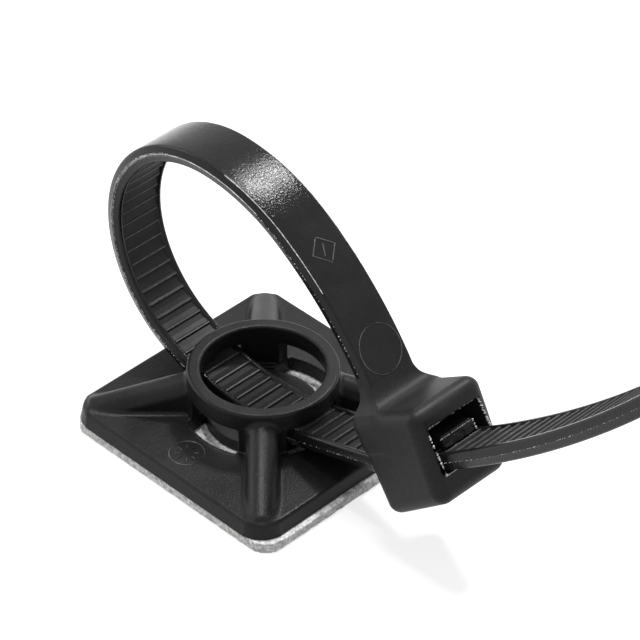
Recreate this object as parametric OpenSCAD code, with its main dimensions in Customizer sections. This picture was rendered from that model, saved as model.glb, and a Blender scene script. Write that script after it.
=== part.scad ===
// Adhesive cable tie mount with a nylon tie laced through its ring.
// Three moulded or die-cut pieces: the mount, its foam pad and the tie.
// The origin is the middle of the foam's sticky underside, +Z is up and
// the tie runs along X through the ring.

/* [Base plate] */
// Width of the square plate at its underside
base_w = 38; // [34:0.5:50]
// Thickness of the plate
plate_t = 2.3; // [1.8:0.1:3]
// Radius of the plate's corners
corner_r = 4; // [2:0.5:6]
// How far the sloping edge leans in, from underside to top
edge_lean = 0.45; // [0.1:0.05:0.8]
// Fillet round the plate's upper edge
edge_fillet = 0.4; // [0.1:0.05:0.8]

/* [Foam pad] */
// How much longer than the plate the foam is cut, along X
pad_over = 0.6; // [0:0.1:1]
// How far the foam stays inside the plate's sides, along Y
pad_inset = 0; // [0:0.1:1]
// Thickness of the foam with its adhesive
pad_t = 1.5; // [0.8:0.1:3]
// How far the foam is stuck off centre, along X
pad_shift = 0.5; // [0:0.1:1]
// Radius of the foam's cut corners
pad_corner_r = 3.2; // [1:0.2:5]

/* [Ring] */
// Outer diameter of the ring
ring_od = 21; // [19:0.5:24]
// Wall of the ring
ring_wall = 1.9; // [1.4:0.1:2.4]
// Height of the ring's band
ring_h = 3.1; // [2:0.1:5]
// Fillet on the ring's upper edges
ring_fillet = 0.35; // [0.1:0.05:0.6]
// Free height over the tie, under the band
headroom = 1.7; // [1.5:0.05:3]
// Depth of the step turned in the ring's bore
bore_step = 0.3; // [0.1:0.05:0.5]
// Height of that step above the band's underside
bore_step_z = 1.2; // [0.5:0.1:1.8]

/* [Hub] */
// Height of the hub that the tie lies on, above the plate's underside
hub_t = 1.8; // [1.4:0.1:2.2]
// Width of each moulding window, from the hub out to the plate
window_w = 2.8; // [2:0.1:3.2]
// How far the windows reach past the ring
window_over = 0.35; // [0.1:0.05:0.6]
// Diameter of the screw hole
screw_d = 5.2; // [4:0.1:6]
// Diameter of the countersink at its top
sink_d = 7.6; // [7:0.2:9.4]
// Clearance between the tie and each side of its slot
slot_clear = 0.4; // [0.2:0.05:0.8]

/* [Corner ribs] */
// Width of a rib
rib_w = 4.3; // [3:0.1:5]
// Drop from the ring's top to the start of a rib's ridge
rib_drop = 1.5; // [1:0.1:2.5]
// Height of the ridge above the plate at the rib's outer end
rib_end_h = 0.6; // [0.3:0.1:1.2]
// Plate left free past the rib's end, measured to the top corner
rib_margin = 0.5; // [0.2:0.1:1.5]

/* [Mould mark] */
// Diameter of the round mark on the plate
mark_d = 5.2; // [3:0.2:6]
// Distance from the mark to the plate's middle
mark_y = 14.5; // [13.5:0.1:15]
// Height of the mark over the plate
mark_h = 0.1; // [0.05:0.01:0.2]
// Width of the mark's raised lines
mark_line = 0.3; // [0.2:0.02:0.4]

/* [Tie strap] */
// Greatest width of the strap, at its parting line
tie_w = 8.4; // [6:0.1:9]
// Thickness of the strap
tie_t = 2.5; // [1.8:0.05:2.7]
// Width of the bevels beside the smooth outer face
bevel_w = 0.4; // [0.1:0.05:0.6]
// Depth of the parting line under the outer face
bevel_d = 0.8; // [0.3:0.05:1]
// Width of the chamfers beside the rails
rail_chamfer = 0.3; // [0.1:0.05:0.5]
// Width of the toothed track's floor between the rails
track_w = 6; // [4:0.1:6.4]
// How far the rails' inner walls slope, from the floor out to the rails' tops
track_slope = 0.3; // [0.1:0.05:0.4]
// Depth of the track's floor under the rails
track_d = 0.6; // [0.3:0.05:0.8]
// Height of the teeth over the track's floor
tooth_h = 0.48; // [0.2:0.02:0.55]
// Length of one tooth along the strap
tooth_pitch = 2.1; // [1.2:0.1:3]

/* [Tie path] */
// Radius of the loop's left side
loop_r = 19.5; // [16:0.5:24]
// Turn of the strap from the ring up into the loop, in degrees
lift_turn = 28; // [20:1:34]
// Radius of the crown, right of the top
crown_r = 28; // [24:0.5:34]
// Turn of the crown, in degrees
crown_turn = 32.3; // [26:0.1:38]
// Radius of the run that falls to the head
fall_r = 54; // [46:1:60]
// Turn of that run, in degrees
fall_turn = 24; // [20:0.5:28]
// Left end of the flat stretch on the hub, from the middle
flat_start = 1.2; // [0:0.1:2]
// Strap that rises already inside the ring's edge
rise_lead = 5.34; // [3:0.1:8]
// Gap under the ring's edge, where the strap climbs to the loop
edge_gap = 0.2; // [0.1:0.02:0.8]
// Radius of the bend where the strap leaves the hub
rise_r = 20; // [12:1:30]
// Radius of the bend at the head's mouth
mouth_r = 14; // [8:1:24]
// Radius of the free tail's upward curve
tail_r = 185; // [120:5:300]
// Length of that curve
tail_l = 48; // [30:1:120]
// Length of the tapered tip
tip_l = 14; // [8:1:24]
// Width of the tip's end
tip_w = 3.6; // [2.4:0.1:5]

/* [Tie head] */
// Width of the head
head_w = 12.9; // [12.4:0.1:14]
// Length of the head along the strap
head_l = 14.15; // [13.5:0.05:18]
// Length of the neck between the strap and the head
neck_l = 3.35; // [2:0.05:5]
// Width of the neck where it meets the head
neck_w = 11; // [8:0.1:11]
// Swelling of the neck over and under the strap
neck_swell = 0.8; // [0:0.1:1.4]
// How far the neck runs into the head
neck_sink = 1.6; // [1:0.1:3]
// Height of the head over the strap's outer face, beside the neck
head_out = 9.2; // [8:0.1:10]
// How much lower the head is at its far end
head_taper = 1.1; // [0:0.1:1.4]
// Depth of the head under the strap's inner face
head_in = 2; // [1:0.1:3]
// Radius of the head's long edges
head_r = 1.8; // [0.8:0.1:2.4]
// Chamfer of the edges round the head's two sides
head_chamfer = 1.2; // [0.4:0.1:1.4]
// Half of how far the head's far end leans over its depth
head_rake = 0.5; // [0:0.1:0.8]
// Lean of the tunnel from square to the strap, in degrees
tunnel_lean = 2.3; // [0:0.1:5]
// Thickness of the head's wall beyond the tunnel
end_wall = 4; // [2.5:0.1:4.4]
// Clearance between the tunnel and the strap's outer face
tunnel_clear = 0.3; // [0.15:0.05:0.5]
// Height of the tunnel over the strap's rails
tunnel_room = 3.85; // [3.4:0.05:4.5]
// Clearance between the tunnel and each edge of the strap
tunnel_side = 0.6; // [0.3:0.05:1]
// Thickness of the pawl at its tip
pawl_t = 1.75; // [1.2:0.05:2.2]
// How far the pawl's tip stays inside the head
pawl_inset = 0.7; // [0.2:0.1:2]
// Clearance between the pawl and the teeth
pawl_clear = 0.2; // [0.1:0.05:0.4]

/* [Hidden] */
$fn = 96;
eps = 0.01;

// heights, counted from the foam's underside
plate_z = pad_t;
plate_top = plate_z + plate_t;
hub_top = plate_z + hub_t;
ring_under = hub_top + tie_t + headroom;
ring_top = ring_under + ring_h;

// foam pad, cut to suit the plate
pad_l = base_w + pad_over;
pad_w = base_w - 2 * pad_inset;

// ring, slots and windows
ring_r = ring_od / 2;
bore_r = ring_r - ring_wall;
slot_w = tie_w + 2 * slot_clear;
window_r = ring_r + window_over;
hub_r = window_r - window_w;

// the ribs run along the diagonals
corner_reach = (base_w / 2 - edge_lean) * sqrt(2) - (corner_r - edge_lean) * (sqrt(2) - 1);
rib_r = rib_w / 2;
rib_end = corner_reach - rib_margin;
rib_fall = (ring_top - rib_drop) - (plate_top + rib_end_h);
rib_slope = atan(rib_fall / (rib_end - ring_r));

// strap section: the track's half width and its depths from the outer face
track_half = track_w / 2;
floor_h = tie_t - track_d;
crest_h = floor_h + tooth_h;

// The strap's outer face is a chain of arcs that meet tangentially. A heading
// of 0 runs along +X, and the strap turns left all the way.
lift_drop = headroom - edge_gap;
lift_reach = ring_r - flat_start;
lift_r = (lift_reach * lift_reach + lift_drop * lift_drop) / (2 * lift_drop) + tie_t;
lift_c = [-flat_start, hub_top + lift_r];
loop_c = shift(lift_c, lift_r - loop_r, 360 - lift_turn);
crown_c = shift(loop_c, loop_r - crown_r, 180);
fall_c = shift(crown_c, crown_r - fall_r, 180 - crown_turn);
root_dir = 180 - crown_turn - fall_turn;
root_pt = shift(fall_c, fall_r, root_dir);

// the head carries on from the strap's root: "down" along the strap, "out"
// away from its outer face
down = [-cos(root_dir), -sin(root_dir)];
out = [sin(root_dir), -cos(root_dir)];
neck_in = neck_l + neck_sink;
head_end = neck_l + head_l;
tunnel_foot = head_end - end_wall;
tail_line = tunnel_foot - tunnel_clear;
tail_dir = root_dir - 90 + tunnel_lean;
head_back = tie_t + head_in;
mouth_pt = head_at(tail_line, -head_back);
tunnel_l = (head_out + head_back) / cos(tunnel_lean);
tunnel_top = tie_t + tunnel_room;
pawl_tip = tunnel_l - pawl_inset;
pawl_root = pawl_t / 2;

// from the hub up to the head's mouth, through the tunnel and out
rise_pt = [ring_r - rise_lead, hub_top];
rise_dir = atan2(mouth_pt[1] - rise_pt[1], mouth_pt[0] - rise_pt[0]);
rise_c = [rise_pt[0] - rise_r * tan(rise_dir / 2), hub_top + rise_r];
mouth_turn = tail_dir - rise_dir;
mouth_run = mouth_r * tan(mouth_turn / 2);
mouth_c = shift(walk(mouth_pt, rise_dir, -mouth_run), -mouth_r, rise_dir);
tunnel_start = shift(mouth_c, mouth_r, tail_dir);
tunnel_run = tunnel_l - mouth_run;
rise_end = shift(rise_c, rise_r, rise_dir);
mouth_start = shift(mouth_c, mouth_r, rise_dir);
tail_start = walk(tunnel_start, tail_dir, tunnel_run);
tail_c = shift(tail_start, -tail_r, tail_dir);
tail_turn = tail_l / tail_r * 180 / PI;
tip_dir = tail_dir + tail_turn;
tip_start = shift(tail_c, tail_r, tip_dir);

// point at a distance from a centre, on the side that faces away from the
// loop when the strap heads in that direction
function shift(c, r, dir) = c + r * [sin(dir), -cos(dir)];
function walk(p, dir, l) = p + l * [cos(dir), sin(dir)];
function head_at(u, v) = root_pt + u * down + v * out;

// ---------------------------------------------------------------- mount base

// half of an edge's section: a leaning side with a fillet at its top
function edge_section(reach) =
    let (
        lean = atan(edge_lean / plate_t),
        f = edge_fillet,
        cx = reach - (plate_t - f) * tan(lean) - f / cos(lean)
    ) concat(
        [[0, 0], [reach, 0]],
        [for (i = [0:4]) let (a = lean + (90 - lean) * i / 4)
            [cx + f * cos(a), plate_t - f + f * sin(a)]],
        [[0, plate_t]]
    );

// square slab with sloping sides and rounded corners
module plate() {
    half = base_w / 2;
    centre = half - corner_r;
    for (turn = [0:90:270])
        rotate([90, 0, turn])
            linear_extrude(2 * centre, center = true) polygon(edge_section(half));
    for (x = [-centre, centre], y = [-centre, centre])
        translate([x, y, 0])
            rotate_extrude() polygon(edge_section(corner_r));
}

// band with filleted upper edges and a shallow step in its bore
module ring_band() {
    f = ring_fillet;
    translate([0, 0, ring_under])
        rotate_extrude() {
            difference() {
                translate([bore_r, 0]) square([ring_wall, ring_h]);
                translate([bore_r - eps, -eps]) square([bore_step + eps, bore_step_z + eps]);
                for (side = [[bore_r, 1], [ring_r, -1]])
                    difference() {
                        translate([side[0] - (side[1] < 0 ? f : eps), ring_h - f])
                            square([f + eps, f + eps]);
                        translate([side[0] + side[1] * f, ring_h - f]) circle(f, $fn = 32);
                    }
            }
        }
}

// four posts between the crossing slots carry the band
module ring_posts() {
    difference() {
        translate([0, 0, plate_z]) cylinder(h = ring_under - plate_z + eps, r = ring_r);
        translate([0, 0, plate_z - eps])
            cylinder(h = ring_under - plate_z + 3 * eps, r = bore_r + bore_step);
        for (turn = [0, 90])
            rotate(turn)
                translate([-ring_od, -slot_w / 2, plate_z - eps])
                    cube([2 * ring_od, slot_w, ring_under - plate_z + 3 * eps]);
    }
}

// half-round rib from the ring down to a corner, over a straight foot
module corner_rib() {
    start = bore_r + ring_wall / 2;
    ridge_z = ring_top - rib_drop + (ring_r - start) * tan(rib_slope);
    len = (rib_end - start) / cos(rib_slope);
    end_z = plate_top + rib_end_h - rib_r / cos(rib_slope);
    axis_z = ridge_z - rib_r / cos(rib_slope);
    intersection() {
        translate([start, 0, axis_z])
            rotate([0, 90 + rib_slope, 0])
                translate([0, 0, -rib_w]) cylinder(h = len + 2 * rib_w, r = rib_r);
        translate([start, -rib_w, plate_z + plate_t / 2])
            cube([rib_end - start, 2 * rib_w, ring_top]);
    }
    rotate([90, 0, 0])
        linear_extrude(rib_w, center = true)
            polygon([
                [start, plate_z + plate_t / 2],
                [rib_end, plate_z + plate_t / 2],
                [rib_end, max(end_z, plate_z + plate_t / 2 + eps)],
                [start, axis_z]
            ]);
}

// round mark raised on the plate: a thin ring round a ring of dashes
module mould_mark() {
    dash = mark_d / 8;
    translate([0, -mark_y, plate_top - mark_h]) {
        difference() {
            cylinder(h = 2 * mark_h, d = mark_d);
            translate([0, 0, -eps]) cylinder(h = 2 * mark_h + 2 * eps, d = mark_d - 2 * mark_line);
        }
        for (turn = [0:45:315])
            rotate(turn) translate([mark_d / 4 - dash / 2, -mark_line / 2, 0])
                cube([dash, mark_line, 2 * mark_h]);
    }
}

// arc-shaped window between the hub and the plate, under a slot of the ring
module window_cut() {
    translate([0, 0, plate_z - eps])
        intersection() {
            difference() {
                cylinder(h = plate_t + 2 * eps, r = window_r);
                translate([0, 0, -eps]) cylinder(h = plate_t + 4 * eps, r = hub_r);
            }
            translate([0, -slot_w / 2, 0]) cube([ring_od, slot_w, plate_t + 2 * eps]);
        }
}

module mount_base() {
    color("#26272a")
    difference() {
        union() {
            difference() {
                translate([0, 0, plate_z]) plate();
                for (turn = [0:90:270]) rotate(turn) window_cut();
                translate([0, 0, hub_top]) cylinder(h = plate_t, r = hub_r);
            }
            mould_mark();
            ring_posts();
            ring_band();
            for (turn = [45:90:315])
                rotate(turn) corner_rib();
        }
        translate([0, 0, plate_z - eps]) cylinder(h = hub_t + 2 * eps, d = screw_d);
        translate([0, 0, hub_top - (sink_d - screw_d) / 2])
            cylinder(h = (sink_d - screw_d) / 2 + eps, d1 = screw_d, d2 = sink_d + 2 * eps);
    }
}

// ------------------------------------------------------------------ foam pad

module foam_pad() {
    x = pad_l / 2 - pad_corner_r;
    y = pad_w / 2 - pad_corner_r;
    color("#d8d8d6")
    translate([pad_shift, 0, 0])
        difference() {
            union() {
                translate([-pad_l / 2, -y, 0]) cube([pad_l, 2 * y, pad_t]);
                translate([-x, -pad_w / 2, 0]) cube([2 * x, pad_w, pad_t]);
                for (cx = [-x, x], cy = [-y, y])
                    translate([cx, cy, 0]) cylinder(h = pad_t, r = pad_corner_r);
            }
            translate([-pad_shift, 0, -eps]) cylinder(h = pad_t + 2 * eps, d = screw_d);
        }
}

// ----------------------------------------------------------------- cable tie

// One ring of the strap's outline: the outer face lies on the path, the track
// is sunk between two rails, and the root and tip change width and thickness.
function outline(h, wide, swell_out, swell_in) =
    let (
        w = tie_w / 2 * wide,
        face = max(w - bevel_w, w * 0.6),
        rail = max(w - rail_chamfer, w * 0.7),
        track = min(track_half, w * 0.6),
        lip = min(track_half + track_slope, w * 0.66),
        back = -tie_t - swell_in,
        side = [
            [swell_out, face],
            [swell_out - bevel_d, w],
            [back + rail_chamfer, w],
            [back, rail],
            [back, lip],
            [-h - swell_in, track]
        ]
    ) concat(side, [for (i = [5:-1:0]) [side[i][0], -side[i][1]]]);

function ring_at(place, h, wide = 1, swell_out = 0, swell_in = 0) = [
    for (q = outline(h, wide, swell_out, swell_in))
        let (p = shift([place[0], place[1]], q[0], place[2])) [p[0], q[1], p[1]]
];

// place on a run after a length s: x, z and heading
function along(run, s) =
    let (p = run[0], dir = run[1], r = run[2])
    r == 0
        ? [each walk(p, dir, s), dir]
        : let (turned = dir + s / r * 180 / PI)
            [each shift(shift(p, -r, dir), r, turned), turned];

// two rings for each tooth, from the foot of its ramp to its crest
function toothed(run) =
    let (n = max(1, round(run[3] / tooth_pitch)), step = run[3] / n)
    [for (i = [0:n - 1], k = [0, 1])
        ring_at(along(run, step * (i + (k == 0 ? 0.05 : 0.95))), k == 0 ? floor_h : crest_h)];

function arc_run(c, r, dir, turn) = [shift(c, r, dir), dir, r, turn * PI / 180 * r];

// from the root over the crown, down the left of the loop, through the ring,
// up to the head, out of its tunnel and along the free tail
runs = [
    arc_run(fall_c, fall_r, root_dir, fall_turn),
    arc_run(crown_c, crown_r, root_dir + fall_turn, crown_turn),
    arc_run(loop_c, loop_r, 180, 180 - lift_turn),
    arc_run(lift_c, lift_r, 360 - lift_turn, lift_turn),
    [[-flat_start, hub_top], 0, 0, rise_c[0] + flat_start],
    arc_run(rise_c, rise_r, 0, rise_dir),
    [rise_end, rise_dir, 0, norm(mouth_start - rise_end)],
    arc_run(mouth_c, mouth_r, rise_dir, mouth_turn),
    [tunnel_start, tail_dir, 0, tunnel_run],
    arc_run(tail_c, tail_r, tail_dir, tail_turn)
];

// the neck swells from the strap's section to most of the head's
neck_run = [head_at(neck_in, 0), root_dir, 0, neck_in];
neck_rings = [
    for (f = [0, 0.3, 0.5, 0.65, 0.8, 1])
        let (swell = pow(1 - min(1, f / 0.8), 1.6))
        ring_at(along(neck_run, f * neck_in), tie_t,
            1 + swell * (neck_w / tie_w - 1), swell * neck_swell, swell * neck_swell)
];

// the tip tapers and ends round, and its teeth run out
tip_run = [tip_start, tip_dir, 0, tip_l];
tip_round = tip_w / 2;
tip_rings = concat(
    [ring_at(along(tip_run, 0.05), floor_h), ring_at(along(tip_run, 1), tie_t)],
    [for (a = [0:15:75])
        ring_at(along(tip_run, tip_l - tip_round * (1 - sin(a))), tie_t, tip_w / tie_w * cos(a))]
);

strap_rings = concat(neck_rings, [for (run = runs) each toothed(run)], tip_rings);

// closed skin over a list of rings that all have as many points
module skin(rings) {
    n = len(rings[0]);
    last = len(rings) - 1;
    function at(i, j) = i * n + j % n;
    polyhedron(
        points = [for (ring = rings) each ring],
        faces = concat(
            [[for (j = [0:n - 1]) at(0, j)]],
            [for (i = [0:last - 1], j = [0:n - 1], k = [0, 1])
                k == 0
                    ? [at(i, j), at(i + 1, j), at(i + 1, j + 1)]
                    : [at(i, j), at(i + 1, j + 1), at(i, j + 1)]],
            [[for (j = [n - 1:-1:0]) at(last, j)]]
        )
    );
}

// head's own frame: x down along the strap from its root, y away from the
// strap's outer face, z across
module in_head_frame() {
    translate([root_pt[0], 0, root_pt[1]])
        rotate([90, 0, 0]) rotate(root_dir - 180) children();
}

// tunnel's own frame: x out along the strap from the head's mouth, y from the
// strap's outer face to its teeth, z across
module in_tunnel_frame() {
    translate([mouth_pt[0], 0, mouth_pt[1]])
        rotate([90, 0, 0]) rotate(tail_dir) children();
}

// convex outline with round corners, its centres in turn round the shape
module rounded_outline(centres, r) {
    n = len(centres);
    for (c = centres) translate(c) circle(r, $fn = 64);
    polygon([
        for (i = [0:n - 1], j = [n - 1, n])
            let (
                p = centres[(i + j) % n],
                q = centres[(i + j + 1) % n],
                d = (q - p) / norm(q - p)
            ) centres[i] + r * [d[1], -d[0]]
    ]);
}

// bar profile with 45 degree chamfers on its four edges
module chamfered_profile(low, high, w, c) {
    polygon([
        [-w / 2, low + c], [c - w / 2, low], [w / 2 - c, low], [w / 2, low + c],
        [w / 2, high - c], [w / 2 - c, high], [c - w / 2, high], [-w / 2, high - c]
    ]);
}

// rounded block round the tunnel
module head_block() {
    r = head_r;
    near = neck_l + r;
    far = head_end - r;
    low = r - head_back;
    high = head_out - r;
    in_head_frame()
        intersection() {
            linear_extrude(head_w, center = true)
                rounded_outline([
                    [near, low], [far + head_rake, low],
                    [far - head_rake, high - head_taper], [near, high]
                ], r);
            translate([neck_l - head_w, 0, 0])
                rotate([0, 90, 0])
                    linear_extrude(head_l + 2 * head_w)
                        chamfered_profile(-head_back, head_out, head_w, head_chamfer);
            rotate([90, 0, 0])
                linear_extrude(4 * head_out, center = true)
                    rotate(-90)
                        chamfered_profile(neck_l, head_end + head_rake, head_w, head_chamfer);
        }
}

module tunnel_cut() {
    in_tunnel_frame()
        translate([-head_back, -tunnel_clear, -tie_w / 2 - tunnel_side])
            cube([head_out + 3 * head_back, tunnel_clear + tunnel_top, tie_w + 2 * tunnel_side]);
}

// springy finger that locks on the teeth, rooted over the tunnel's mouth
module pawl() {
    under = crest_h + pawl_clear;
    in_tunnel_frame()
        linear_extrude(track_w - 2 * pawl_clear, center = true)
            polygon([
                [pawl_root, tunnel_top + pawl_t / 2],
                [pawl_root, tunnel_top - pawl_t / 3],
                [pawl_tip - pawl_t, under],
                [pawl_tip, under],
                [pawl_tip, under + pawl_t],
                [pawl_root + 2 * pawl_t, tunnel_top],
                [pawl_root + 2 * pawl_t, tunnel_top + pawl_t / 2]
            ]);
}

module cable_tie() {
    color("#1b1c1e")
    union() {
        skin(strap_rings);
        difference() {
            head_block();
            tunnel_cut();
        }
        pawl();
    }
}

mount_base();
foam_pad();
cable_tie();
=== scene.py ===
import math

import bpy
import numpy as np
from mathutils import Matrix, Vector


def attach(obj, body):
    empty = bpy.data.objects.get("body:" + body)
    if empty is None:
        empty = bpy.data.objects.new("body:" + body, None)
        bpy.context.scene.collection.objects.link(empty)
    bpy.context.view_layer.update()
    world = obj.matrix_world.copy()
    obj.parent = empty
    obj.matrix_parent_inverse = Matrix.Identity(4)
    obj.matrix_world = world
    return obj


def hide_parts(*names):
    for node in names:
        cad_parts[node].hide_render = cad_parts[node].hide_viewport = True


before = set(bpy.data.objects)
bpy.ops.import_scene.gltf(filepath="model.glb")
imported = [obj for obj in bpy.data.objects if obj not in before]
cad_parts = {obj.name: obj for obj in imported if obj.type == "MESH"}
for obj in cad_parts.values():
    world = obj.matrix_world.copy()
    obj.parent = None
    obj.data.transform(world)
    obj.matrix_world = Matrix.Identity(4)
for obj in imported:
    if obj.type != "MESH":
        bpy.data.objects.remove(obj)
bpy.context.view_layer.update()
mm = 0.001
print("frame loaded:", sorted(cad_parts))


def newObject(name, data):
    piece = bpy.data.objects.new(name, data)
    bpy.context.scene.collection.objects.link(piece)
    return piece


def shadeSmooth(mesh):
    mesh.polygons.foreach_set("use_smooth", np.ones(len(mesh.polygons), bool))


# materials: a shared effect as a node group, one Principled shader in each material

def effectGroup(name, inputs, outputs):
    group = bpy.data.node_groups.new(name, "ShaderNodeTree")
    for label, kind, value in inputs:
        group.interface.new_socket(label, in_out="INPUT", socket_type=kind).default_value = value
    for label, kind in outputs:
        group.interface.new_socket(label, in_out="OUTPUT", socket_type=kind)
    return group, group.nodes.new("NodeGroupInput").outputs, group.nodes.new("NodeGroupOutput").inputs


def addNode(tree, kind, links=(), **values):  # links: sockets with what feeds them
    node = tree.nodes.new(kind)
    for key, value in values.items():
        setattr(node, key, value)
    for socket, source in dict(links).items():
        if isinstance(source, bpy.types.NodeSocket):
            tree.links.new(source, node.inputs[socket])
        else:
            node.inputs[socket].default_value = source
    return node


def mathNode(tree, operation, first, second):
    return addNode(tree, "ShaderNodeMath", {0: first, 1: second}, operation=operation).outputs[0]


def grainGroup():  # fine grain and soft mottling
    inputs = [("Vector", "NodeSocketVector", (0, 0, 0)), ("Grain Size", "NodeSocketFloat", 4000.0),
              ("Mottle Size", "NodeSocketFloat", 250.0), ("Dark", "NodeSocketColor", (0.02, 0.02, 0.02, 1)),
              ("Light", "NodeSocketColor", (0.05, 0.05, 0.05, 1)),
              ("Rough Low", "NodeSocketFloat", 0.3), ("Rough High", "NodeSocketFloat", 0.5)]
    outputs = [("Color", "NodeSocketColor"), ("Roughness", "NodeSocketFloat"), ("Height", "NodeSocketFloat")]
    group, given, result = effectGroup("mouldedGrain", inputs, outputs)
    grain = addNode(group, "ShaderNodeTexNoise", {
        "Vector": given["Vector"], "Scale": given["Grain Size"], "Detail": 3.0, "Roughness": 0.6})
    mottle = addNode(group, "ShaderNodeTexNoise", {
        "Vector": given["Vector"], "Scale": given["Mottle Size"], "Detail": 4.0, "Roughness": 0.55})
    both = mathNode(group, "MULTIPLY", grain.outputs["Fac"], mottle.outputs["Fac"])
    spread = addNode(group, "ShaderNodeMapRange", {"Value": both, "From Min": 0.15, "From Max": 0.38})
    tint = addNode(group, "ShaderNodeMix", {0: spread.outputs[0], 6: given["Dark"], 7: given["Light"]},
                   data_type="RGBA")
    rough = addNode(group, "ShaderNodeMapRange", {
        "Value": mottle.outputs["Fac"], "From Min": 0.3, "From Max": 0.7,
        "To Min": given["Rough Low"], "To Max": given["Rough High"]})
    group.links.new(tint.outputs[2], result["Color"])
    group.links.new(rough.outputs[0], result["Roughness"])
    group.links.new(grain.outputs["Fac"], result["Height"])
    return group


mouldedGrain = grainGroup()


def grainMaterial(name, look):
    material = bpy.data.materials.new(name)
    material.use_nodes = True
    tree = material.node_tree
    shader = tree.nodes["Principled BSDF"]
    coords = tree.nodes.new("ShaderNodeTexCoord")
    effect = tree.nodes.new("ShaderNodeGroup")
    effect.node_tree = mouldedGrain
    tree.links.new(coords.outputs["Object"], effect.inputs["Vector"])
    for label, value in look["effect"].items():
        effect.inputs[label].default_value = value
    bump = addNode(tree, "ShaderNodeBump", {
        "Strength": look["bump"], "Distance": look["bumpDepth"], "Height": effect.outputs["Height"]})
    tree.links.new(effect.outputs["Color"], shader.inputs["Base Color"])
    tree.links.new(effect.outputs["Roughness"], shader.inputs["Roughness"])
    tree.links.new(bump.outputs["Normal"], shader.inputs["Normal"])
    for label, value in look["shader"].items():
        shader.inputs[label].default_value = value
    return material


basePlastic = grainMaterial("satinBlackNylon", {
    "effect": {"Grain Size": 3600.0, "Mottle Size": 180.0, "Rough Low": 0.3, "Rough High": 0.4,
               "Dark": (0.006, 0.006, 0.0063, 1), "Light": (0.012, 0.012, 0.0125, 1)},
    "bump": 0.8, "bumpDepth": 0.00007, "shader": {"IOR": 1.5, "Specular IOR Level": 0.18}})
tiePlastic = grainMaterial("glossyBlackNylon", {
    "effect": {"Grain Size": 3000.0, "Mottle Size": 220.0, "Rough Low": 0.1, "Rough High": 0.15,
               "Dark": (0.008, 0.008, 0.0084, 1), "Light": (0.014, 0.014, 0.0146, 1)},
    "bump": 1.0, "bumpDepth": 0.000045, "shader": {"IOR": 1.5, "Specular IOR Level": 0.19}})
satinPlastic = grainMaterial("satinTieNylon", {
    "effect": {"Grain Size": 3000.0, "Mottle Size": 220.0, "Rough Low": 0.4, "Rough High": 0.5,
               "Dark": (0.011, 0.011, 0.0115, 1), "Light": (0.02, 0.02, 0.021, 1)},
    "bump": 0.6, "bumpDepth": 0.00003, "shader": {"IOR": 1.5, "Specular IOR Level": 0.16}})
# pale torn flash, and the same pale nylon painted as highlight lines along the strap's edges
flashAndHighlightPlastic = grainMaterial("nylonFlashAndPaintedHighlight", {
    "effect": {"Grain Size": 2500.0, "Mottle Size": 900.0, "Rough Low": 0.5, "Rough High": 0.8,
               "Dark": (0.2, 0.2, 0.2, 1), "Light": (0.8, 0.8, 0.8, 1)},
    "bump": 0.5, "bumpDepth": 0.00005, "shader": {"IOR": 1.5}})
# pale nylon that paints highlights: the light caught by the teeth's crests and by the raised marks is painted
# into its colour
paintedHighlightPlastic = grainMaterial("paintedHighlightNylon", {
    "effect": {"Grain Size": 2200.0, "Mottle Size": 700.0, "Rough Low": 0.4, "Rough High": 0.6,
               "Dark": (0.015, 0.015, 0.015, 1), "Light": (0.1, 0.1, 0.1, 1)},
    "bump": 0.5, "bumpDepth": 0.00003, "shader": {"IOR": 1.5}})
foam = grainMaterial("closedCellFoam", {
    "effect": {"Grain Size": 2200.0, "Mottle Size": 1100.0, "Rough Low": 0.75, "Rough High": 0.95,
               "Dark": (0.45, 0.45, 0.45, 1), "Light": (0.9, 0.9, 0.89, 1)},
    "bump": 0.6, "bumpDepth": 0.0002, "shader": {"IOR": 1.45}})
print("materials made")


# rounded solids: a distance field in millimetres, turned into quads

def smoothMax(a, b, k):
    h = np.clip(0.5 + 0.5 * (a - b) / k, 0, 1)
    return b * (1 - h) + a * h + k * h * (1 - h)


def smoothMin(a, b, k):
    return -smoothMax(-a, -b, k)


def polygonField(x, y, points):
    nearest = np.full(np.shape(x), 1e9)
    count = len(points)
    crossing = np.zeros(np.shape(x), int)
    for i in range(count):
        (ax, ay), (bx, by) = points[i], points[(i + 1) % count]
        ex, ey = bx - ax, by - ay
        t = np.clip(((x - ax) * ex + (y - ay) * ey) / (ex * ex + ey * ey), 0, 1)
        nearest = np.minimum(nearest, (x - ax - t * ex) ** 2 + (y - ay - t * ey) ** 2)
        if ay != by:
            crossing += ((ay <= y) != (by <= y)) & (x < ax + (y - ay) * ex / ey)
    return np.where(crossing % 2 == 1, -1, 1) * np.sqrt(nearest)


def latticeNoise(x, y, z, size, seed):
    table = np.random.default_rng(seed).random((32, 32, 32))
    parts = []
    for value in (x, y, z):
        scaled = np.asarray(value) / size
        whole = np.floor(scaled).astype(int)
        part = scaled - whole
        parts.append((whole % 32, (whole + 1) % 32, part * part * (3 - 2 * part)))
    total = 0
    for i in (0, 1):
        for j in (0, 1):
            for k in (0, 1):
                weight = 1
                for (low, high, f), pick in zip(parts, (i, j, k)):
                    weight = weight * (f if pick else 1 - f)
                total = total + weight * table[parts[0][i], parts[1][j], parts[2][k]]
    return total - 0.5


def slope(field, points, step=0.02):
    out = np.zeros_like(points)
    for axis in range(3):
        shiftBy = np.zeros(3)
        shiftBy[axis] = step
        out[:, axis] = (field(*(points + shiftBy).T) - field(*(points - shiftBy).T)) / (2 * step)
    return out


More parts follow.
